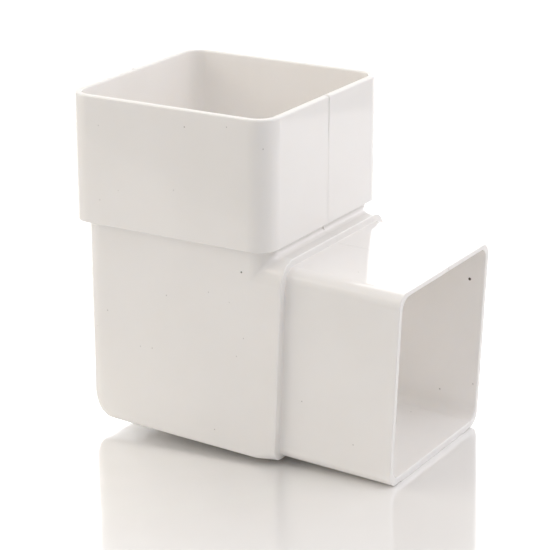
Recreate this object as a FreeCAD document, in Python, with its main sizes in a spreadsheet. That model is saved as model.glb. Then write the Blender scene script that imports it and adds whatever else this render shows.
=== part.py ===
import FreeCAD, Part
import math
import os
import Sketcher

# Square-line downspout elbow, moulded in one piece from white plastic.
# A socket takes the square pipe from above, the water turns through the bend angle in a
# square body, and a smaller spigot leads it out of the front, falling slightly.
#
# Frame, in millimetres: the origin is the centre of the pipe stop, where the end of the upper
# pipe seats. Z runs up the socket, X forwards over the spigot, and Y is across the part.
#
# The model follows the tool that moulds it: an outer skin, and two cores drawn out of it, one
# up through the socket and one forwards through the spigot.

DRIVING = [
    ("pipe_width", 65.0, "outside width of the square pipe, which the body carries on"),
    ("pipe_wall", 1.8, "wall of the pipe that goes over the spigot"),
    ("bend_angle", 92.25, "angle between the socket's axis and the spigot's, in degrees"),
    ("socket_clearance", 0.7, "gap between the pipe and the socket wall, on each side"),
    ("socket_wall", 2.2, "thickness of the socket wall"),
    ("socket_depth", 38.0, "from the mouth down to the pipe stop"),
    ("socket_corner", 7.0, "outside corner radius of the socket"),
    ("stop_thickness", 2.15, "thickness of the shoulder under the pipe stop"),
    ("neck_gap", 3.15, "from the shoulder down to the top of the collar"),
    ("neck_lead", 1.0, "how far the neck stands in front of the pipe's own face"),
    ("body_wall", 2.2, "thickness of the body wall"),
    ("body_corner", 6.0, "outside corner radius of the upright part of the body"),
    ("heel_radius", 9.5, "outside radius of the heel, where the back turns into the underside"),
    ("underside_edge", 1.2, "radius along the lower side edges of the body"),
    ("run_out", 7.0, "length over which the lower edges open out to the collar's corners"),
    ("brow_length", 5.5, "how far the leg's upper edges go on behind the run-out, into the neck"),
    ("collar_lead", 3.6, "how far the collar stands in front of the neck"),
    ("collar_corner", 7.2, "radius of the leg's upper edges and of the collar's upper corners"),
    ("collar_foot_corner", 4.2, "radius of the collar's lower corners"),
    ("collar_top_step", 2.35, "height of the collar above the spigot"),
    ("collar_bottom_step", 0.6, "height of the collar below the spigot"),
    ("spigot_side_gap", 0.8, "gap between the spigot and the lower pipe's wall, at the sides"),
    ("spigot_height_gap", 0.2, "gap between the spigot and the lower pipe's wall, above and below"),
    ("spigot_length", 37.9, "from the collar to the open end"),
    ("spigot_wall", 1.9, "thickness of the spigot's side walls"),
    ("spigot_roof", 1.5, "thickness of the spigot's upper wall"),
    ("spigot_floor", 2.2, "thickness of the spigot's lower wall"),
    ("spigot_corner", 4.5, "outside corner radius of the spigot"),
    ("outlet_corner", 3.8, "corner radius of the spigot's bore"),
    ("rim_round", 0.5, "edge radius of the socket's mouth"),
    ("shoulder_round", 0.3, "edge radius of the shoulder under the socket"),
    ("collar_round", 0.3, "edge radius round the collar"),
    ("root_round", 0.2, "radius in the corner where the spigot grows out of the collar"),
    ("end_round", 0.3, "edge radius of the spigot's open end"),
]

# Sizes that follow from the ones above. A drop is measured down from the pipe stop, and a
# reach forwards from the socket's axis.
DERIVED = [
    ("fall", "=bend_angle - 90"),
    ("bore_half", "=pipe_width / 2 + socket_clearance"),
    ("bore_corner", "=socket_corner - socket_wall"),
    ("socket_half", "=bore_half + socket_wall"),
    ("body_half", "=pipe_width / 2"),
    ("chamber_half", "=body_half - body_wall"),
    ("chamber_corner", "=body_corner - body_wall"),
    ("heel_inside", "=heel_radius - body_wall"),
    ("spigot_half", "=body_half - pipe_wall - spigot_side_gap"),
    ("spigot_rise", "=body_half - pipe_wall - spigot_height_gap"),
    ("outlet_half", "=spigot_half - spigot_wall"),
    ("outlet_above", "=spigot_rise - spigot_roof"),
    ("outlet_below", "=spigot_rise - spigot_floor"),
    ("leg_above", "=spigot_rise + collar_top_step"),
    ("leg_below", "=spigot_rise + collar_bottom_step"),
    ("neck_drop", "=stop_thickness + neck_gap"),
    ("neck_front", "=body_half + neck_lead"),
    ("collar_reach", "=neck_front + collar_lead"),
    ("collar_drop", "=neck_drop + leg_above * cos(fall)"),
    ("axis_drop", "=collar_drop - collar_reach * tan(fall)"),
    ("start_reach", "=collar_reach - run_out * cos(fall)"),
    ("start_drop", "=collar_drop - run_out * sin(fall)"),
    ("brow_reach", "=start_reach - brow_length * cos(fall)"),
    ("brow_drop", "=start_drop - brow_length * sin(fall)"),
    ("upright_drop", "=neck_drop + collar_corner"),
    ("foot_reach", "=start_reach - leg_below * sin(fall)"),
    ("foot_drop", "=start_drop + leg_below * cos(fall)"),
    ("floor_drop", "=axis_drop + (leg_below - body_wall) / cos(fall) + chamber_half * tan(fall)"),
]

# How closely two lengths agree when an edge is looked up by its place.
MATCH = 0.01

doc = FreeCAD.newDocument("downspout_elbow")
sheet = doc.addObject("Spreadsheet::Sheet", "sizes")
for row, (alias, value, meaning) in enumerate(DRIVING, start=1):
    sheet.set(f"A{row}", str(value))
    sheet.set(f"B{row}", meaning)
    sheet.setAlias(f"A{row}", alias)
for row, (alias, formula) in enumerate(DERIVED, start=len(DRIVING) + 1):
    sheet.set(f"A{row}", formula)
    sheet.setAlias(f"A{row}", alias)
doc.recompute()


def size(alias):
    """The present value of a cell, in millimetres or degrees."""
    return float(sheet.get(alias))


def new_body(name, base=None):
    """An empty body, or one that goes on from a finished solid."""
    body = doc.addObject("PartDesign::Body", name)
    if base is not None:
        body.BaseFeature = base
        doc.recompute()
    return body


def new_sketch(body, name, plane):
    """A sketch on one of the body's own origin planes."""
    sketch = body.newObject("Sketcher::SketchObject", name)
    support = [item for item in body.Origin.OriginFeatures if item.Role == plane][0]
    sketch.AttachmentSupport = [(support, "")]
    sketch.MapMode = "FlatFace"
    return sketch


def new_cross_sketch(body, name, reach, drop):
    """A sketch square across the spigot's axis, centred on the point at that reach and drop."""
    sketch = new_sketch(body, name, "YZ_Plane")
    tilt = FreeCAD.Rotation(FreeCAD.Vector(1, 0, 0), size("fall"))
    sketch.AttachmentOffset = FreeCAD.Placement(FreeCAD.Vector(0, -size(drop), size(reach)), tilt)
    sketch.setExpression("AttachmentOffset.Base.y", f"-sizes.{drop}")
    sketch.setExpression("AttachmentOffset.Base.z", f"sizes.{reach}")
    sketch.setExpression("AttachmentOffset.Rotation.Angle", "sizes.fall")
    return sketch


def hold(sketch, *constraint):
    """Adds a constraint without a dimension to a sketch."""
    return sketch.addConstraint(Sketcher.Constraint(*constraint))


def tie(sketch, name, expression, *constraint):
    """Adds a dimension to a sketch, names it and ties it to the sheet."""
    index = hold(sketch, *constraint)
    sketch.renameConstraint(index, name)
    sketch.setExpression(f"Constraints.{name}", expression)


def draw_rectangle(sketch, half, above, below, corner=None, front=None):
    """A rectangle about the sketch's vertical axis, with four equal round corners or sharp ones.

    The arguments are names of cells: half the width, the distances from the sketch's origin up
    to the top side and down to the bottom side, the corner radius, and the distance to the right
    side where it is more than half the width."""
    front = front or half
    wide, back, high, low = size(front), -size(half), size(above), -size(below)
    radius = size(corner) if corner else 0.0
    near_side, far_side, upper, lower = wide - radius, back + radius, high - radius, low + radius
    ends = [
        ((wide, lower), (wide, upper)),
        ((near_side, high), (far_side, high)),
        ((back, upper), (back, lower)),
        ((far_side, low), (near_side, low)),
    ]
    sides = [
        sketch.addGeometry(Part.LineSegment(FreeCAD.Vector(*start, 0), FreeCAD.Vector(*end, 0)))
        for start, end in ends
    ]
    right, top, left, bottom = sides
    following = sides[1:] + sides[:1]
    if corner:
        centres = [(near_side, upper), (far_side, upper), (far_side, lower), (near_side, lower)]
        arcs = []
        for quarter, (side, after, centre) in enumerate(zip(sides, following, centres)):
            circle = Part.Circle(FreeCAD.Vector(*centre, 0), FreeCAD.Vector(0, 0, 1), radius)
            span = (quarter * math.pi / 2, (quarter + 1) * math.pi / 2)
            arc = sketch.addGeometry(Part.ArcOfCircle(circle, *span))
            hold(sketch, "Tangent", side, 2, arc, 1)
            hold(sketch, "Tangent", arc, 2, after, 1)
            arcs.append(arc)
        for arc in arcs[1:]:
            hold(sketch, "Equal", arcs[0], arc)
        tie(sketch, "corner", f"sizes.{corner}", "Radius", arcs[0], radius)
    else:
        for side, after in zip(sides, following):
            hold(sketch, "Coincident", side, 2, after, 1)
    for side in (right, left):
        hold(sketch, "Vertical", side)
    for side in (top, bottom):
        hold(sketch, "Horizontal", side)
    tie(sketch, "right", f"sizes.{front}", "DistanceX", -1, 1, right, 1, wide)
    tie(sketch, "left", f"sizes.{half}", "DistanceX", left, 1, -1, 1, -back)
    tie(sketch, "above", f"sizes.{above}", "DistanceY", -1, 1, top, 1, high)
    tie(sketch, "below", f"sizes.{below}", "DistanceY", bottom, 1, -1, 1, -low)


def draw_heel_outline(sketch, back, heel, reach, drop, square_front, top_drop=None):
    """Side outline of the upright part: underside, front, level top, back and round heel.

    back, heel, reach and drop are names of cells: the distance to the back, the heel's radius,
    and the place of the lower front corner. The front stands square to the underside or
    upright, and the top lies at the cell top_drop, or level with the pipe stop."""
    fall = math.radians(size("fall"))
    radius = size(heel)
    top = -size(top_drop) if top_drop else 0.0
    foot = FreeCAD.Vector(size(reach), -size(drop), 0)
    lean = (top - foot.y) * math.tan(fall) if square_front else 0.0
    centre_x = radius - size(back)
    centre_z = foot.y + (foot.x - centre_x) * math.tan(fall) + radius / math.cos(fall)
    circle = Part.Circle(FreeCAD.Vector(centre_x, centre_z, 0), FreeCAD.Vector(0, 0, 1), radius)
    arc = sketch.addGeometry(Part.ArcOfCircle(circle, math.pi, 1.5 * math.pi - fall))
    top_front = FreeCAD.Vector(foot.x + lean, top, 0)
    top_back = FreeCAD.Vector(-size(back), top, 0)
    corners = [sketch.getPoint(arc, 2), foot, top_front, top_back, sketch.getPoint(arc, 1)]
    lines = [sketch.addGeometry(Part.LineSegment(*ends)) for ends in zip(corners, corners[1:])]
    underside, front, roof, spine = lines
    for line, after in zip(lines, lines[1:]):
        hold(sketch, "Coincident", line, 2, after, 1)
    hold(sketch, "Tangent", spine, 2, arc, 1)
    hold(sketch, "Tangent", arc, 2, underside, 1)
    hold(sketch, "Vertical", spine)
    hold(sketch, "Horizontal", roof)
    if square_front:
        hold(sketch, "Perpendicular", underside, front)
    else:
        hold(sketch, "Vertical", front)
    if top_drop:
        tie(sketch, "top", f"sizes.{top_drop}", "DistanceY", roof, 1, -1, 1, -top)
    else:
        hold(sketch, "PointOnObject", roof, 1, -1)
    tie(sketch, "heel", f"sizes.{heel}", "Radius", arc, radius)
    tie(sketch, "back", f"sizes.{back}", "DistanceX", spine, 1, -1, 1, size(back))
    tie(sketch, "slope", "-sizes.fall * 1 deg", "Angle", underside, -fall)
    tie(sketch, "reach", f"sizes.{reach}", "DistanceX", -1, 1, underside, 2, foot.x)
    tie(sketch, "drop", f"sizes.{drop}", "DistanceY", underside, 2, -1, 1, -foot.y)


def pad(body, name, sketch, length, behind=None, symmetric=False, reverse=False):
    """Pads a sketch by a length given as an expression, and by another one behind it."""
    feature = body.newObject("PartDesign::Pad", name)
    feature.Profile = sketch
    feature.Reversed = reverse
    if symmetric:
        feature.SideType = "Symmetric"
    if behind:
        feature.SideType = "Two sides"
        feature.setExpression("Length2", behind)
    feature.setExpression("Length", length)
    body.Tip = feature
    doc.recompute()


def edge_numbers(shape, test):
    """Numbers, counted from 1, of the edges that pass a test."""
    return [number for number, edge in enumerate(shape.Edges, start=1) if test(edge)]


def round_edges(body, name, radius, test):
    """Rounds those edges of the body that pass the test, with one radius from the sheet."""
    base = body.Tip
    feature = body.newObject("PartDesign::Fillet", name)
    feature.Base = (base, [f"Edge{number}" for number in edge_numbers(base.Shape, test)])
    feature.setExpression("Radius", f"sizes.{radius}")
    body.Tip = feature
    doc.recompute()


def round_changing(name, body, radii):
    """Rounds edges of a finished body with a radius that changes along each edge.

    radii lists a test for edges with the names of the cells for the radius at an edge's first
    end and at its last."""
    feature = doc.addObject("Part::Fillet", name)
    feature.Base = body
    feature.Edges = [
        (number, size(first), size(last))
        for test, first, last in radii
        for number in edge_numbers(body.Shape, test)
    ]
    doc.recompute()
    return feature


def near(value, target):
    """Whether two lengths agree."""
    return abs(value - target) < MATCH


def at_side(edge):
    """Whether an edge lies in a plane parallel to the elbow's plane of symmetry."""
    return near(edge.BoundBox.YLength, 0.0)


def at_back(edge):
    """Whether an edge is one of the two upright ones at the back of the body."""
    return at_side(edge) and near(edge.BoundBox.XMax, -size("body_half"))


def at_heel(edge):
    """Whether an edge runs round the heel."""
    return at_side(edge) and isinstance(edge.Curve, Part.Circle)


def at_underside(edge):
    """Whether an edge runs from the heel along the underside to its lowest corner."""
    box = edge.BoundBox
    return at_side(edge) and near(box.ZMin, -size("foot_drop")) and box.XMin < 0


def over_leg(edge):
    """Whether a side edge runs along the top of the leg."""
    return at_side(edge) and all(near(above, size("leg_above")) for along, across, above in spigot_places(edge))


def under_leg(edge):
    """Whether a side edge runs along the foot of the leg."""
    return at_side(edge) and all(near(above, -size("leg_below")) for along, across, above in spigot_places(edge))


def below_stop(edge):
    """Whether a side edge of the chamber reaches down from the pipe stop."""
    return at_side(edge) and edge.BoundBox.ZMin < -MATCH


def at_mouth(edge):
    """Whether an edge lies in the socket's mouth."""
    return near(edge.BoundBox.ZMin, size("socket_depth"))


def at_shoulder(edge):
    """Whether an edge runs round the outside of the shoulder, under the socket."""
    box = edge.BoundBox
    outermost = max(box.XMax, -box.XMin, box.YMax, -box.YMin)
    return near(box.ZMax, -size("stop_thickness")) and near(outermost, size("socket_half"))


def spigot_places(edge):
    """The ends of an edge, each as its distances along the spigot from the collar, across the
    spigot and above its axis."""
    fall = math.radians(size("fall"))
    places = []
    for vertex in edge.Vertexes:
        forward = vertex.X - size("collar_reach")
        rise = vertex.Z + size("collar_drop")
        along = forward * math.cos(fall) - rise * math.sin(fall)
        above = forward * math.sin(fall) + rise * math.cos(fall)
        places.append((along, vertex.Y, above))
    return places


def on_spigot_outline(across, above):
    """Whether a place is no further out than the spigot's own outside faces."""
    return abs(across) < size("spigot_half") + MATCH and abs(above) < size("spigot_rise") + MATCH


def at_collar_rim(edge):
    """Whether an edge runs round the outside of the collar's end face."""
    places = spigot_places(edge)
    level = all(near(along, 0.0) for along, across, above in places)
    return level and not all(on_spigot_outline(across, above) for along, across, above in places)


def at_collar_root(edge):
    """Whether an edge runs round the spigot where it leaves the collar."""
    places = spigot_places(edge)
    level = all(near(along, 0.0) for along, across, above in places)
    return level and all(on_spigot_outline(across, above) for along, across, above in places)


def at_spigot_end(edge):
    """Whether an edge lies in the spigot's open end."""
    return all(near(along, size("spigot_length")) for along, across, above in spigot_places(edge))


# Upright part of the body, from the back to where the run-out to the collar starts. Its back
# corners are full, and fade round the heel into the nearly sharp edges of the underside.
upright_blank = new_body("upright_blank")
upright_outline = new_sketch(upright_blank, "upright_outline", "XZ_Plane")
draw_heel_outline(upright_outline, "body_half", "heel_radius", "foot_reach", "foot_drop", True, "upright_drop")
pad(upright_blank, "upright_pad", upright_outline, "2 * sizes.body_half", symmetric=True)
upright = round_changing("upright", upright_blank, [
    (at_back, "body_corner", "body_corner"),
    (at_heel, "body_corner", "underside_edge"),
    (at_underside, "underside_edge", "underside_edge"),
])

# Leg: a short length along the spigot's axis up to the collar. Its upper edges are round all
# along, and its lower ones open out from the underside's edge radius to the collar's.
leg_blank = new_body("leg_blank")
leg_section = new_cross_sketch(leg_blank, "leg_section", "start_reach", "start_drop")
draw_rectangle(leg_section, "body_half", "leg_above", "leg_below")
pad(leg_blank, "leg_pad", leg_section, "sizes.run_out")
leg = round_changing("leg", leg_blank, [
    (over_leg, "collar_corner", "collar_corner"),
    (under_leg, "underside_edge", "collar_foot_corner"),
])

# Brow: the upper half of the leg, carried on back until the neck has swallowed its round edges.
brow_blank = new_body("brow_blank")
brow_section = new_cross_sketch(brow_blank, "brow_section", "brow_reach", "brow_drop")
draw_rectangle(brow_section, "body_half", "leg_above", "collar_corner")
pad(brow_blank, "brow_pad", brow_section, "sizes.brow_length")
brow = round_changing("brow", brow_blank, [(over_leg, "collar_corner", "collar_corner")])

# Outer skin: the lengths of the body, the neck above them, the socket and the spigot.
skin_base = doc.addObject("Part::MultiFuse", "skin_base")
skin_base.Shapes = [upright, brow, leg]
doc.recompute()
skin = new_body("skin", skin_base)
neck_section = new_sketch(skin, "neck_section", "XY_Plane")
draw_rectangle(neck_section, "body_half", "body_half", "body_half", "body_corner", "neck_front")
pad(skin, "neck", neck_section, "sizes.axis_drop", reverse=True)
socket_section = new_sketch(skin, "socket_section", "XY_Plane")
draw_rectangle(socket_section, "socket_half", "socket_half", "socket_half", "socket_corner")
pad(skin, "socket", socket_section, "sizes.socket_depth", behind="sizes.stop_thickness")
spigot_section = new_cross_sketch(skin, "spigot_section", "collar_reach", "collar_drop")
draw_rectangle(spigot_section, "spigot_half", "spigot_rise", "spigot_rise", "spigot_corner")
pad(skin, "spigot", spigot_section, "sizes.spigot_length", behind="sizes.body_wall")

# Upper core: the chamber in the body, with rounded floor edges, and the bore of the socket. It
# runs out of the mouth by a wall's thickness.
upper_core = new_body("upper_core")
chamber_outline = new_sketch(upper_core, "chamber_outline", "XZ_Plane")
draw_heel_outline(chamber_outline, "chamber_half", "heel_inside", "chamber_half", "floor_drop", False)
pad(upper_core, "chamber", chamber_outline, "2 * sizes.chamber_half", symmetric=True)
round_edges(upper_core, "chamber_corners", "chamber_corner", below_stop)
bore_section = new_sketch(upper_core, "bore_section", "XY_Plane")
draw_rectangle(bore_section, "bore_half", "bore_half", "bore_half", "bore_corner")
pad(upper_core, "bore", bore_section, "sizes.socket_depth + sizes.socket_wall")

# Front core: the bore of the spigot, from the socket's axis out past the open end.
front_core = new_body("front_core")
outlet_section = new_cross_sketch(front_core, "outlet_section", "collar_reach", "collar_drop")
draw_rectangle(outlet_section, "outlet_half", "outlet_above", "outlet_below", "outlet_corner")
outlet_length = "sizes.spigot_length + sizes.spigot_wall"
pad(front_core, "outlet", outlet_section, outlet_length, behind="sizes.collar_reach")

cores = doc.addObject("Part::MultiFuse", "cores")
cores.Shapes = [upper_core, front_core]
hollow = doc.addObject("Part::Cut", "hollow")
hollow.Base = skin
hollow.Tool = cores
doc.recompute()

# Finished elbow: the hollow moulding with its edges rounded.
elbow = new_body("elbow", hollow)
elbow.Label = "downspout_elbow"
round_edges(elbow, "mouth_edges", "rim_round", at_mouth)
round_edges(elbow, "shoulder_edges", "shoulder_round", at_shoulder)
round_edges(elbow, "collar_edges", "collar_round", at_collar_rim)
round_edges(elbow, "collar_root", "root_round", at_collar_root)
round_edges(elbow, "end_edges", "end_round", at_spigot_end)

failed = [item.Name for item in doc.Objects if "Invalid" in item.State or "Error" in item.State]
if failed:
    raise RuntimeError("failed features: " + ", ".join(failed))
os.makedirs("parts", exist_ok=True)
for part in [elbow]:
    if part.Shape.isNull() or not part.Shape.isValid():
        raise RuntimeError("bad solid: " + part.Label)
    part.Shape.exportStep(f"parts/{part.Label}.step")
    print(part.Label, "volume", round(part.Shape.Volume), "faces", len(part.Shape.Faces))
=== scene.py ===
# %% [markdown]
# # A square downspout elbow in white plastic
# The elbow is one injection moulding: a square socket on top takes the end of a downpipe, the
# water turns in a square body with a rounded heel, and a smaller spigot leads it out in front.
# The CAD frame already has every wall and nearly every rounded edge, so it is shown as it is, and
# this lesson gives it what the drawing leaves out: the camera, the moulded finish, one hollow round,
# the marks that the mould has left, and the polished table that it stands on.

# %% Load the frame
import math
import bmesh
import bpy
import numpy as np
from mathutils import Matrix, Vector


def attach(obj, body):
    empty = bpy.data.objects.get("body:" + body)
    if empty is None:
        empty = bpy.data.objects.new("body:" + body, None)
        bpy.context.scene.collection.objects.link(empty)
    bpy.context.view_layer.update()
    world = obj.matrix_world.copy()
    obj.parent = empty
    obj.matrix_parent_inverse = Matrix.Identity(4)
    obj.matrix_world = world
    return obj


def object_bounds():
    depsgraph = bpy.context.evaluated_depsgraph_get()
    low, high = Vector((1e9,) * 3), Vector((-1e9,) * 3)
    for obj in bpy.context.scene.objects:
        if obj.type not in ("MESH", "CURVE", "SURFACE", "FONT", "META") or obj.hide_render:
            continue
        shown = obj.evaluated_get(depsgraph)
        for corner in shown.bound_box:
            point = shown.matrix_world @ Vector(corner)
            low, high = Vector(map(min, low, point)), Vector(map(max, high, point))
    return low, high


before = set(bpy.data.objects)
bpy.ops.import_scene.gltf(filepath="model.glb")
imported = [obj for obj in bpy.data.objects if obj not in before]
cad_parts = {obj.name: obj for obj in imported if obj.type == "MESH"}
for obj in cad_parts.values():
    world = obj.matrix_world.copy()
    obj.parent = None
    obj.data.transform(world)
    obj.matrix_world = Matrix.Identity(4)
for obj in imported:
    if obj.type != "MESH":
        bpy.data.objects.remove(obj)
cad_low, cad_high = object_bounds()
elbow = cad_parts["downspout_elbow"]
scene = bpy.context.scene
scene.view_settings.view_transform = "Standard"
MM = 0.001
print("elbow box in mm:", [round(side / MM, 2) for side in cad_high - cad_low])

# %% [markdown]
# ## Camera
# The picture looks down on the elbow from its front corner with a long lens, so upright edges
# lean very little. A camera could be aimed with a constraint, but its matrix is written out here
# from two angles and a place, because those three are what was measured.

# %% Camera
AZIMUTH = math.radians(30.448)
ELEVATION = math.radians(18.872)
CAMERA_PLACE = Vector((0.339202, -0.548040, 0.195771))
FOCAL_PIXELS = 2155.4
IMAGE_PIXELS = 550
SENSOR_WIDTH = 36.0

right = Vector((math.cos(AZIMUTH), math.sin(AZIMUTH), 0.0))
back = Vector((
    math.sin(AZIMUTH) * math.cos(ELEVATION),
    -math.cos(AZIMUTH) * math.cos(ELEVATION),
    math.sin(ELEVATION),
))
camera_data = bpy.data.cameras.new("camera")
camera_data.sensor_width = SENSOR_WIDTH
camera_data.lens = FOCAL_PIXELS * SENSOR_WIDTH / IMAGE_PIXELS
camera = bpy.data.objects.new("camera", camera_data)
turn = Matrix((right, back.cross(right), back)).transposed().to_4x4()
camera.matrix_world = Matrix.Translation(CAMERA_PLACE) @ turn
scene.collection.objects.link(camera)
scene.camera = camera
print("lens in mm:", round(camera_data.lens, 1))

# %% [markdown]
# ## Shader sums
# A finish is easier to read as a sum than as a picture of wires. The class below wraps a number
# socket, so that an expression such as 1 - mask adds the Math node that works it out. Finish
# makes a material's nodes, with one method for every kind of node.

# %% Shader helpers
class Number:
    """A number socket of a finish that takes part in Python sums."""

    def __init__(self, finish, socket):
        self.finish = finish
        self.socket = socket

    def __add__(self, other):
        return self.finish.math("ADD", self, other)

    def __sub__(self, other):
        return self.finish.math("SUBTRACT", self, other)

    def __rsub__(self, other):
        return self.finish.math("SUBTRACT", other, self)

    def __mul__(self, other):
        return self.finish.math("MULTIPLY", self, other)

    __radd__ = __add__
    __rmul__ = __mul__


class Finish:
    """The node tree of a material or of the world, emptied and then filled by calls."""

    def __init__(self, owner):
        owner.use_nodes = True
        self.tree = owner.node_tree
        self.tree.nodes.clear()

    def node(self, kind, settings=None, sockets=None):
        """Adds a node, makes its settings first, then fills or links its input sockets."""
        made = self.tree.nodes.new(kind)
        for name, value in (settings or {}).items():
            setattr(made, name, value)
        for name, value in (sockets or {}).items():
            source = value.socket if isinstance(value, Number) else value
            if isinstance(source, bpy.types.NodeSocket):
                self.tree.links.new(source, made.inputs[name])
            else:
                made.inputs[name].default_value = source
        return made

    def number(self, kind, output, settings=None, sockets=None):
        """Adds a node and gives one of its outputs as a number for sums."""
        return Number(self, self.node(kind, settings, sockets).outputs[output])

    def math(self, operation, first, second):
        """Adds the Math node of one operation on two numbers."""
        return self.number("ShaderNodeMath", 0, {"operation": operation}, {0: first, 1: second})

    def vector(self, operation, first, second):
        """The number that a Vector Math operation gives, such as a distance or a dot product."""
        sockets = {0: first, 1: second}
        return self.number("ShaderNodeVectorMath", "Value", {"operation": operation}, sockets)

    def noise(self, place, scale, detail):
        """A cloudy number from 0 to 1 with about this many clouds in a metre."""
        sockets = {"Vector": place, "Scale": scale, "Detail": detail}
        return self.number("ShaderNodeTexNoise", "Fac", None, sockets)

    def ramp(self, value, low, high, at_low=0.0, at_high=1.0):
        """A number that goes smoothly from at_low to at_high as value goes from low to high."""
        sockets = {"Value": value, 1: low, 2: high, 3: at_low, 4: at_high}
        smooth = {"interpolation_type": "SMOOTHSTEP"}
        return self.number("ShaderNodeMapRange", "Result", smooth, sockets)

    def mix(self, factor, first, second):
        """The colour part of the way from the first colour to the second."""
        sockets = {"Factor": factor, 6: first, 7: second}
        return self.node("ShaderNodeMix", {"data_type": "RGBA"}, sockets).outputs[2]


print("shader helpers:", Number.__name__, Finish.__name__)

# %% [markdown]
# ## The spigot's own directions
# The spigot falls a little towards its end, so its marks are easier to place by how far they are
# along it, across it and above its axis. The sizes and the slope are the drawing's own.

# %% Spigot directions
FALL = math.radians(2.25)
COLLAR_REACH = 37.1
COLLAR_DROP = 38.1247
SPIGOT_LENGTH = 37.9
SPIGOT_RISE = 30.5
SIDEWAYS = np.array([0.0, 1.0, 0.0])
ALONG = np.array([math.cos(FALL), 0.0, -math.sin(FALL)])
ABOVE = np.array([math.sin(FALL), 0.0, math.cos(FALL)])


def on_spigot(along, across, above):
    """The place in mm at these distances: collar centre + along, across and above steps."""
    centre = np.array([COLLAR_REACH, 0.0, -COLLAR_DROP])
    return centre + along * ALONG + across * SIDEWAYS + above * ABOVE


end_centre = on_spigot(SPIGOT_LENGTH, 0.0, 0.0)
print("spigot end in mm:", end_centre.round(2).tolist())

# %% [markdown]
# ## White moulded plastic
# The real wall is rigid white plastic straight from a polished mould: glossy, a little warm, and
# not perfectly even. It has faint clouds in its tone, shallow sink marks in its gloss, and a few
# dark specks of burnt plastic moulded in. The open end was trimmed, so its edge is a little rough,
# and the rim of the socket is duller still. Both are also painted darker, as painted shade that
# tones down how brightly the end face and the rim's edge catch the light. First come the colours,
# the sizes of the clouds and marks, and the list of the specks that can be told apart.

# %% Plastic colours and marks
PLASTIC_COLOUR = (0.915, 0.898, 0.880, 1.0)
PLASTIC_SHADE = (0.897, 0.879, 0.858, 1.0)
SPECK_COLOUR = (0.10, 0.085, 0.07, 1.0)
# Painted shade: the end face of the spigot gets a darker colour, which tones down the light it
# catches.
END_PAINTED_SHADE_COLOUR = (0.86, 0.843, 0.825, 1.0)
# Painted shade: the rim of the socket gets a darker colour, which tones down its lit edge.
RIM_PAINTED_SHADE_COLOUR = (0.82, 0.803, 0.785, 1.0)
CLOUD_SCALE = 38.0
RIPPLE_SCALE = 650.0
SINK_SCALE = 55.0
TRIM_SCALE = 1800.0
GRIT_SCALE = 120.0
GRIT_DARKNESS = 0.4
GLOSS_ROUGHNESS = 0.05
CLOUD_ROUGHNESS = 0.03
TRIM_ROUGHNESS = 0.3
RIM_ROUGHNESS = 0.65
SOCKET_TOP = 38.0

# Each speck in mm: its place on the wall, its radius and how dark it is from 0 to 1.
SPECKS = [
    (24.6, -32.5, -9.8, 0.38, 0.85),
    (7.1, -35.4, 32.9, 0.30, 0.45),
    (21.6, -35.4, 34.8, 0.25, 0.35),
    (3.0, -35.4, 13.0, 0.25, 0.30),
    (-2.1, -32.5, -21.8, 0.28, 0.35),
    (13.0, -32.5, -18.1, 0.25, 0.30),
    (-24.0, -32.5, -30.6, 0.28, 0.35),
    (25.2, -32.5, -30.6, 0.25, 0.30),
    (-12.0, -32.5, -40.2, 0.25, 0.30),
    (22.7, -32.5, -36.8, 0.25, 0.30),
    (14.7, -32.5, -62.3, 0.28, 0.35),
    (70.7, 28.0, -21.8, 0.62, 1.00),
    (61.4, 28.0, -60.4, 0.35, 0.50),
    (72.9, 28.0, -56.4, 0.30, 0.40),
]
print("specks:", len(SPECKS))

# %% [markdown]
# ## The finish of the plastic
# An image of the plastic would do for one view only, so the finish is worked out from the Object
# coordinates and holds all over, inside and out. Each mark is a number from 0 to 1 at every point
# of the wall: how spotted it is, how far it is trimmed, how near the rim. Those numbers mix the
# colours and add up to the roughness. The darker colours of the end and the rim are painted shade;
# their roughness is real. Light goes a short way into such plastic, which softens the shade inside
# the tubes. In the fine beads it has no room to, so they get a finish without that.

# %% Plastic

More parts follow.
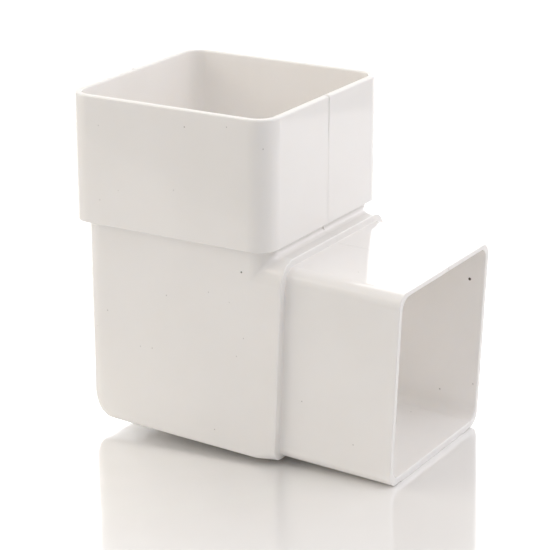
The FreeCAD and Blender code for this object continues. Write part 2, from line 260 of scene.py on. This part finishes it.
def make_plastic(name, depth_share):
    """White gloss plastic: cloudy tone, sink marks, dark specks, and a rougher end and rim in
    painted shade.

    depth_share is how much of the light goes into the wall before it comes out again."""
    material = bpy.data.materials.new(name)
    finish = Finish(material)
    place = finish.node("ShaderNodeTexCoord").outputs["Object"]
    clouds = finish.noise(place, CLOUD_SCALE, 3.0)
    ripple = finish.noise(place, RIPPLE_SCALE, 2.0)
    sink = finish.noise(place, SINK_SCALE, 1.0)
    trim_grain = finish.noise(place, TRIM_SCALE, 2.0)
    cells = {"Vector": place, "Scale": GRIT_SCALE}
    grit = finish.number("ShaderNodeTexVoronoi", "Distance", None, cells)
    spotted = finish.ramp(grit, 0.018, 0.030, GRIT_DARKNESS, 0.0)
    for x, y, z, radius, darkness in SPECKS:
        away = finish.vector("DISTANCE", place, (x * MM, y * MM, z * MM))
        spot = finish.ramp(away, 0.5 * radius * MM, radius * MM, darkness, 0.0)
        spotted = finish.math("MAXIMUM", spotted, spot)
    end_level = float(end_centre @ ALONG) * MM
    along_spigot = finish.vector("DOT_PRODUCT", place, tuple(ALONG))
    trim_and_painted_shade = finish.ramp(along_spigot, end_level - 0.35 * MM, end_level - 0.1 * MM)
    upwards = finish.vector("DOT_PRODUCT", place, (0.0, 0.0, 1.0))
    rim_dullness_and_painted_shade = finish.ramp(upwards, (SOCKET_TOP - 0.2) * MM, (SOCKET_TOP - 0.05) * MM)
    colour = finish.mix(finish.ramp(clouds, 0.35, 0.7), PLASTIC_COLOUR, PLASTIC_SHADE)
    # Painted shade: the end face is coloured darker; its roughness and grain below are real.
    colour = finish.mix(trim_and_painted_shade, colour, END_PAINTED_SHADE_COLOUR)
    # Painted shade: the socket rim is coloured darker; its dull roughness below is real.
    colour = finish.mix(rim_dullness_and_painted_shade, colour, RIM_PAINTED_SHADE_COLOUR)
    colour = finish.mix(spotted, colour, SPECK_COLOUR)
    roughness = GLOSS_ROUGHNESS + CLOUD_ROUGHNESS * finish.ramp(clouds, 0.3, 0.8)
    roughness = roughness + TRIM_ROUGHNESS * trim_and_painted_shade + RIM_ROUGHNESS * rim_dullness_and_painted_shade
    height = sink * 0.6 + ripple * 0.02 + trim_and_painted_shade * trim_grain * 2.0
    relief = {"Strength": 0.03, "Distance": 0.001, "Height": height}
    bump = finish.node("ShaderNodeBump", None, relief)
    shader = finish.node("ShaderNodeBsdfPrincipled", None, {
        "Base Color": colour,
        "Roughness": roughness,
        "IOR": 1.53,
        "Subsurface Weight": depth_share,
        "Subsurface Radius": (1.0, 0.9, 0.8),
        "Subsurface Scale": 0.004,
        "Normal": bump.outputs["Normal"],
    })
    finish.node("ShaderNodeOutputMaterial", None, {"Surface": shader.outputs["BSDF"]})
    return material


plastic = make_plastic("white_wall_plastic", 0.3)
thin_plastic = make_plastic("white_bead_plastic", 0.0)
for material_slot in elbow.material_slots:
    material_slot.material = plastic
print("plastic nodes:", len(plastic.node_tree.nodes))

# %% [markdown]
# ## Beads of flash
# Where the halves of the mould meet, a little plastic is squeezed out as a fine bead. It could be
# painted on as bump, but near the rim it stands proud enough to break the outline, so each bead
# is a mesh: an ellipse carried along a path on the wall, with its inner half sunk in the wall.

# %% Bead helpers
BEAD_POINTS = 12


def grid_mesh(name, points, closed):
    """A mesh object from an array of rows and columns of points in mm, joined to quads.

    A closed one joins the last column to the first and has a face over each end."""
    rows, columns = points.shape[:2]
    number = np.arange(rows * columns).reshape(rows, columns)
    if closed:
        number = np.concatenate([number, number[:, :1]], axis=1)
    quads = np.stack([number[:-1, :-1], number[:-1, 1:], number[1:, 1:], number[1:, :-1]], axis=-1)
    faces = quads.reshape(-1, 4).tolist()
    if closed:
        faces += [number[0, :-1].tolist(), number[-1, :-1].tolist()]
    mesh = bpy.data.meshes.new(name)
    mesh.from_pydata((points.reshape(-1, 3) * MM).tolist(), [], faces)
    mesh.polygons.foreach_set("use_smooth", np.ones(len(mesh.polygons), dtype=bool))
    if closed:
        shell = bmesh.new()
        shell.from_mesh(mesh)
        bmesh.ops.recalc_face_normals(shell, faces=shell.faces)
        shell.to_mesh(mesh)
        shell.free()
    made = bpy.data.objects.new(name, mesh)
    scene.collection.objects.link(made)
    return made


def moulded_piece(name, points):
    """A closed piece of the moulding, in thin plastic, that goes wherever the elbow goes."""
    made = grid_mesh(name, points, True)
    made.data.materials.append(thin_plastic)
    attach(made, "root")
    return made


def bead(name, spine, across, outward, half_width, height):
    """A bead on the wall: at each place of the spine, an ellipse about it.

    Point = spine + half_width * cos(turn) * across + height * sin(turn) * outward."""
    turn = np.linspace(0.0, 2.0 * np.pi, BEAD_POINTS, endpoint=False)[None, :, None]
    wide = np.broadcast_to(half_width, len(spine))[:, None, None]
    tall = np.broadcast_to(height, len(spine))[:, None, None]
    ellipse = wide * np.cos(turn) * across[:, None] + tall * np.sin(turn) * outward[:, None]
    return moulded_piece(name, spine[:, None] + ellipse)


print("points round a bead:", BEAD_POINTS)

# %% [markdown]
# ## Round at the foot of the neck
# In the moulding the front of the neck runs down into the top of the leg in a smooth hollow round,
# where the drawing has a plain corner. A fillet in the drawing could make it, but the corner winds
# round both sides of the neck and dies out there, so it is made here as a ball would leave it in
# soft plastic: the ball is rolled along the corner, and each row of the grid is one of its arcs.

# %% Neck round
NECK_ROUND = 2.0
NECK_FRONT = 33.5
NECK_CORNER = 6.0
LEG_CORNER = 7.2
BODY_HALF = 32.5
COLLAR_RISE = 32.85
BURIED = 0.15


def rolled_round(name, radius):
    """The hollow round that a ball leaves along the foot of the neck.

    The ball's centre stays one radius away from the neck, which is flat with round corners, and
    from the leg, which is flat with round edges. A row is the arc about the centre from the point
    on the neck to the point on the leg, and one more point, buried in the corner, closes it."""
    swing = np.linspace(-0.98, 0.98, 241) * np.pi / 2
    across = (BODY_HALF + radius) * np.sin(swing)
    past_front = np.sign(across) * np.clip(np.abs(across) - BODY_HALF + NECK_CORNER, 0.0, None)
    past_top = np.sign(across) * np.clip(np.abs(across) - BODY_HALF + LEG_CORNER, 0.0, None)
    ahead = np.sqrt((NECK_CORNER + radius) ** 2 - past_front ** 2)
    above = np.sqrt((LEG_CORNER + radius) ** 2 - past_top ** 2)
    x = NECK_FRONT - NECK_CORNER + ahead
    rise = COLLAR_RISE - LEG_CORNER + above
    z = (rise - (x - COLLAR_REACH) * math.sin(FALL)) / math.cos(FALL) - COLLAR_DROP
    centre = np.stack([x, across, z], axis=-1)
    to_neck = -np.stack([ahead, past_front, np.zeros_like(x)], axis=-1) / (NECK_CORNER + radius)
    to_leg = -(past_top[:, None] * SIDEWAYS + above[:, None] * ABOVE) / (LEG_CORNER + radius)
    part = np.linspace(0.0, 1.0, 13)[None, :, None]
    arc = (1 - part) * to_neck[:, None] + part * to_leg[:, None]
    arc *= radius / np.linalg.norm(arc, axis=-1, keepdims=True)
    middle = to_neck + to_leg
    length = np.linalg.norm(middle, axis=-1, keepdims=True)
    corner = middle / length * (2 * radius / length + BURIED)
    made = moulded_piece(name, centre[:, None] + np.concatenate([arc, corner[:, None]], axis=1))
    made.data.set_sharp_from_angle(angle=math.radians(60.0))
    return made


neck_round = rolled_round("neck_round", NECK_ROUND)
print("neck round quads:", len(neck_round.data.polygons))

# %% [markdown]
# ## Parting line
# The line runs all round the elbow in its middle plane, where the two halves of the mould met. A
# bevelled curve could follow it, but its height has to change on the way, so the bead is carried
# along a path: a chain of straight lines whose corners are arcs, as the wall's own corners are.

# %% Path and seam helpers
PATH_STEP = 0.2
FRONT_SHIFT = 0.9
SEAM_HALF_WIDTH = 0.32
SEAM_END = 33.5


def rounded_path(corners, radii):
    """Places and outward directions, PATH_STEP mm apart, along lines joined by tangent arcs.

    Round a corner, the place is the arc's centre plus a radius that swings evenly from one line's
    foot to the other's. The outward direction is the travel turned a quarter to the right."""
    chain = [corners[0]]
    for before, corner, after, radius in zip(corners, corners[1:], corners[2:], radii):
        behind = (before - corner) / np.linalg.norm(before - corner)
        ahead = (after - corner) / np.linalg.norm(after - corner)
        half = math.acos(float(behind @ ahead)) / 2
        middle = (behind + ahead) / np.linalg.norm(behind + ahead)
        centre = corner + middle * radius / math.sin(half)
        first = corner + behind * radius / math.tan(half) - centre
        last = corner + ahead * radius / math.tan(half) - centre
        swing = math.pi - 2 * half
        part = np.linspace(0.0, 1.0, 13)[:, None]
        arm = np.sin((1 - part) * swing) * first + np.sin(part * swing) * last
        chain.extend(centre + arm / math.sin(swing))
    chain.append(corners[-1])
    chain = np.array(chain)
    length = np.concatenate([[0.0], np.cumsum(np.linalg.norm(np.diff(chain, axis=0), axis=1))])
    stations = np.linspace(0.0, length[-1], int(length[-1] / PATH_STEP))
    x = np.interp(stations, length, chain[:, 0])
    z = np.interp(stations, length, chain[:, 1])
    travel = np.stack([np.gradient(x), np.gradient(z)], axis=-1)
    travel /= np.linalg.norm(travel, axis=1, keepdims=True)
    level = np.zeros_like(x)
    return np.stack([x, level, z], axis=-1), np.stack([travel[:, 1], level, -travel[:, 0]], axis=-1)


def seam(name, corners, radii, shift, heights_at):
    """The bead along a path in a plane parallel to the middle one, as high as heights_at says."""
    spine, outward = rounded_path([np.array(corner) for corner in corners], radii)
    spine[:, 1] = shift
    across = np.broadcast_to(SIDEWAYS, spine.shape)
    ends = np.minimum(np.arange(len(spine)), np.arange(len(spine))[::-1]) * PATH_STEP
    fade = np.clip(ends / 1.0, 0.1, 1.0)
    levels, heights = zip(*heights_at)
    height = np.interp(spine[:, 2], levels, heights) * fade
    return bead(name, spine, across, outward, SEAM_HALF_WIDTH * fade, height)


def in_plane(place):
    """The forward and upward parts of a place."""
    return place[[0, 2]]


print("step along a path in mm:", PATH_STEP)

# %% [markdown]
# ## Where the parting line runs
# In front it goes from the spigot's end over the collar and the neck and up the socket, a little off
# the middle, as the mould was. At the back it goes down the socket and the body, round the heel and
# along the underside. It is plainest at the top of the socket, and hardly there lower down.

# %% Parting line
# Sizes of the drawing in mm, up and forwards from the pipe stop.
COLLAR_FOOT = 31.1
SOCKET_HALF = 35.4
SHOULDER = -2.15
NECK_FOOT = -5.11
HEEL_LEVEL = -66.514
HEEL_RADIUS = 9.5

# How far a bead stands out, in mm, at each of these levels.
FRONT_HEIGHTS = [(-10.0, 0.02), (-4.0, 0.03), (23.0, 0.03), (28.0, 0.16), (SOCKET_TOP, 0.24)]
BACK_HEIGHTS = [(-70.0, 0.06), (25.0, 0.06), (30.0, 0.15), (SOCKET_TOP, 0.20)]

front_corners = [
    in_plane(on_spigot(SPIGOT_LENGTH - 0.3, 0.0, SPIGOT_RISE)),
    in_plane(on_spigot(0.0, 0.0, SPIGOT_RISE)),
    in_plane(on_spigot(0.0, 0.0, COLLAR_RISE)),
    (NECK_FRONT, NECK_FOOT),
    (NECK_FRONT, SHOULDER),
    (SOCKET_HALF, SHOULDER),
    (SOCKET_HALF, SOCKET_TOP),
    (SEAM_END, SOCKET_TOP),
]
front_radii = [0.2, 0.3, NECK_ROUND, 0.2, 0.3, 0.5]
front_seam = seam("front_seam", front_corners, front_radii, FRONT_SHIFT, FRONT_HEIGHTS)

back_corners = [
    (-SEAM_END, SOCKET_TOP),
    (-SOCKET_HALF, SOCKET_TOP),
    (-SOCKET_HALF, SHOULDER),
    (-BODY_HALF, SHOULDER),
    (-BODY_HALF, HEEL_LEVEL),
    in_plane(on_spigot(0.0, 0.0, -COLLAR_FOOT)),
    in_plane(on_spigot(0.0, 0.0, -SPIGOT_RISE)),
    in_plane(on_spigot(SPIGOT_LENGTH - 4.0, 0.0, -SPIGOT_RISE)),
]
back_radii = [0.5, 0.3, 0.2, HEEL_RADIUS, 0.3, 0.2]
back_seam = seam("back_seam", back_corners, back_radii, 0.0, BACK_HEIGHTS)
print("seam quads:", len(front_seam.data.polygons), len(back_seam.data.polygons))

# %% [markdown]
# ## Flash on the open end
# A ragged lip of flash hangs from the lower edge of the spigot's end, and the elbow stands on it.
# Two small nicks mark where the parting line crosses the end and the neck.

# %% End flash
LIP_DEPTH = 0.22
LIP_HALF_WIDTH = 0.42
LIP_NEAR = -22.0
LIP_FAR = 23.4

lip_across = np.linspace(LIP_NEAR, LIP_FAR, 228)
lip_middle = on_spigot(SPIGOT_LENGTH - LIP_HALF_WIDTH, 0.0, -SPIGOT_RISE)
lip_spine = lip_middle + lip_across[:, None] * SIDEWAYS
long_waves = 0.10 * np.sin(0.9 * lip_across) * np.sin(0.37 * lip_across + 1.0)
short_waves = 0.05 * np.sin(3.1 * lip_across + 0.4)
far_fade = np.clip((LIP_FAR - lip_across) / 6.0, 0.15, 1.0)
near_fade = np.clip((lip_across - LIP_NEAR) / 0.4 + 0.4, 0.0, 1.0)
ragged = np.clip(0.84 + long_waves + short_waves, 0.5, 1.0)
lip = bead(
    "end_lip",
    lip_spine,
    np.broadcast_to(ALONG, lip_spine.shape),
    np.broadcast_to(-ABOVE, lip_spine.shape),
    LIP_HALF_WIDTH,
    LIP_DEPTH * ragged * far_fade * near_fade,
)


def nick(name, start, stop, across, outward, half_width, height):
    """A short bead from one place to another, tapering to both ends."""
    part = np.linspace(0.0, 1.0, 15)
    spine = start + part[:, None] * (stop - start)
    taper = np.sin(np.pi * np.clip(part, 0.06, 0.94))
    directions = [np.broadcast_to(direction, spine.shape) for direction in (across, outward)]
    return bead(name, spine, *directions, half_width * taper, height * taper)


FORWARDS = np.array([1.0, 0.0, 0.0])
end_nick = nick(
    "end_nick",
    on_spigot(SPIGOT_LENGTH, 1.2, SPIGOT_RISE + 0.1),
    on_spigot(SPIGOT_LENGTH, 1.5, SPIGOT_RISE - 1.5),
    SIDEWAYS, ALONG, 0.2, 0.12,
)
neck_nick = nick(
    "neck_nick",
    np.array([NECK_FRONT, FRONT_SHIFT, -2.6]),
    np.array([34.0, 1.0, -4.6]),
    SIDEWAYS, FORWARDS, 0.25, 0.25,
)
lip_places = np.empty(3 * len(lip.data.vertices))
lip.data.vertices.foreach_get("co", lip_places)
lip_low = float(lip_places[2::3].min())
print("lip reaches down to", round(lip_low / MM, 2), "mm")
print("nick quads:", len(end_nick.data.polygons), len(neck_nick.data.polygons))

# %% [markdown]
# ## Table
# The elbow stands on a polished white table that mirrors it, and the mirror image fades with the
# distance from the heel. The table could be endless, but its right edge is near enough to show as
# a soft step in the gloss of the socket's front, so it is a rectangle, square to the camera. Its
# finish mixes a mirror with plain white, in a share that a ramp on the distance works out.

# %% Table
TABLE_LEFT = 0.60
TABLE_RIGHT = 0.37
TABLE_FRONT = 0.16
TABLE_BACK = 1.10
HEEL_FOOT = (-0.026, -0.015, lip_low)
TABLE_WHITE = (0.9, 0.9, 0.9, 1.0)
MIRROR_WHITE = (1.0, 1.0, 1.0, 1.0)
MIRROR_ROUGHNESS = 0.10
MIRROR_SHARE_NEAR = 0.72
MIRROR_SHARE_FAR = 0.25


def make_table_finish():
    """Polished white: a mirror whose share fades with the distance from the foot of the heel."""
    material = bpy.data.materials.new("polished_white")
    finish = Finish(material)
    place = finish.node("ShaderNodeTexCoord").outputs["Object"]
    away = finish.vector("DISTANCE", place, HEEL_FOOT)
    share = finish.ramp(away, 0.045, 0.13, MIRROR_SHARE_NEAR, MIRROR_SHARE_FAR)
    polish = {"Color": MIRROR_WHITE, "Roughness": MIRROR_ROUGHNESS}
    mirror = finish.node("ShaderNodeBsdfGlossy", None, polish)
    white = finish.node("ShaderNodeBsdfDiffuse", None, {"Color": TABLE_WHITE})
    sockets = {0: share, 1: white.outputs[0], 2: mirror.outputs[0]}
    mixed = finish.node("ShaderNodeMixShader", None, sockets)
    finish.node("ShaderNodeOutputMaterial", None, {"Surface": mixed.outputs[0]})
    return material


view_right = np.array([math.cos(AZIMUTH), math.sin(AZIMUTH), 0.0])
view_ahead = np.array([-math.sin(AZIMUTH), math.cos(AZIMUTH), 0.0])
width_steps, depth_steps = np.meshgrid([-TABLE_LEFT, TABLE_RIGHT], [-TABLE_FRONT, TABLE_BACK])
table_points = width_steps[..., None] * view_right + depth_steps[..., None] * view_ahead
table_points[..., 2] = lip_low
table = grid_mesh("table", table_points / MM, False)
table.data.materials.append(make_table_finish())
print("table height in mm:", round(lip_low / MM, 2))

# %% [markdown]
# ## Light
# A light tent: an even soft surround, a wide pale backdrop that the table mirrors, and soft panels
# to the left, the right and above. Those at the left front are warm and those at the right cool,
# which parts the faces in tone as well as in brightness. The backdrop shows in gloss only, so that
# it whitens the table and not the back of the elbow. A panel's level is how bright its face looks,
# so its power follows from its size. Light passes many times between white walls, so the counts of
# bounces are raised.

# %% Light
AMBIENT = 0.495
AMBIENT_COLOUR = (1.0, 0.979, 0.968, 1.0)
WHITE = (1.0, 1.0, 1.0)
WARM = (1.0, 0.92, 0.80)
COOL = (0.972, 0.958, 1.0)
middle = (cad_low + cad_high) / 2

# Each panel: its place in metres, the point that it faces, its width and height, level and colour.
PANELS = {
    "backdrop": ((-0.57, 0.98, 0.42), (0.0, 0.0, 0.3), 2.6, 1.0, 2.4, WHITE),
    "right_back": ((0.65, 0.96, 0.35), middle, 0.9, 0.8, 0.95, COOL),
    "right_top": ((0.90, 0.10, 0.95), middle, 0.8, 0.6, 3.10, COOL),
    "top": ((0.10, 0.00, 1.30), middle, 0.8, 0.8, 0.92, WARM),
    "left_back": ((-0.75, 0.65, 1.05), middle, 0.8, 0.8, 2.70, WHITE),
    "left_high": ((-1.10, -0.75, 0.90), middle, 1.2, 0.9, 1.42, WARM),
    "left_low": ((-1.15, -0.80, 0.45), middle, 1.2, 0.8, 1.00, WARM),
}
scene.cycles.diffuse_bounces = 12
scene.cycles.max_bounces = 16


def make_surround():
    """An even world of one pale colour."""
    finish = Finish(scene.world)
    sockets = {"Color": AMBIENT_COLOUR, "Strength": AMBIENT}
    light = finish.node("ShaderNodeBackground", None, sockets)
    finish.node("ShaderNodeOutputWorld", None, {"Surface": light.outputs[0]})


def soft_panel(name, place, aim, width, height, level, colour):
    """A rectangular area lamp at a place, turned to face a point; power = pi * level * area."""
    data = bpy.data.lights.new(name, "AREA")
    data.shape = "RECTANGLE"
    data.size = width
    data.size_y = height
    data.energy = level * math.pi * width * height
    data.color = colour
    panel = bpy.data.objects.new(name, data)
    facing = (Vector(place) - Vector(aim)).to_track_quat("Z", "Y")
    panel.matrix_world = Matrix.Translation(place) @ facing.to_matrix().to_4x4()
    scene.collection.objects.link(panel)
    return panel


if scene.world is None:
    scene.world = bpy.data.worlds.new("surround")
make_surround()
panels = {name: soft_panel(name, *settings) for name, settings in PANELS.items()}
panels["backdrop"].visible_diffuse = False
print("panels:", len(panels))
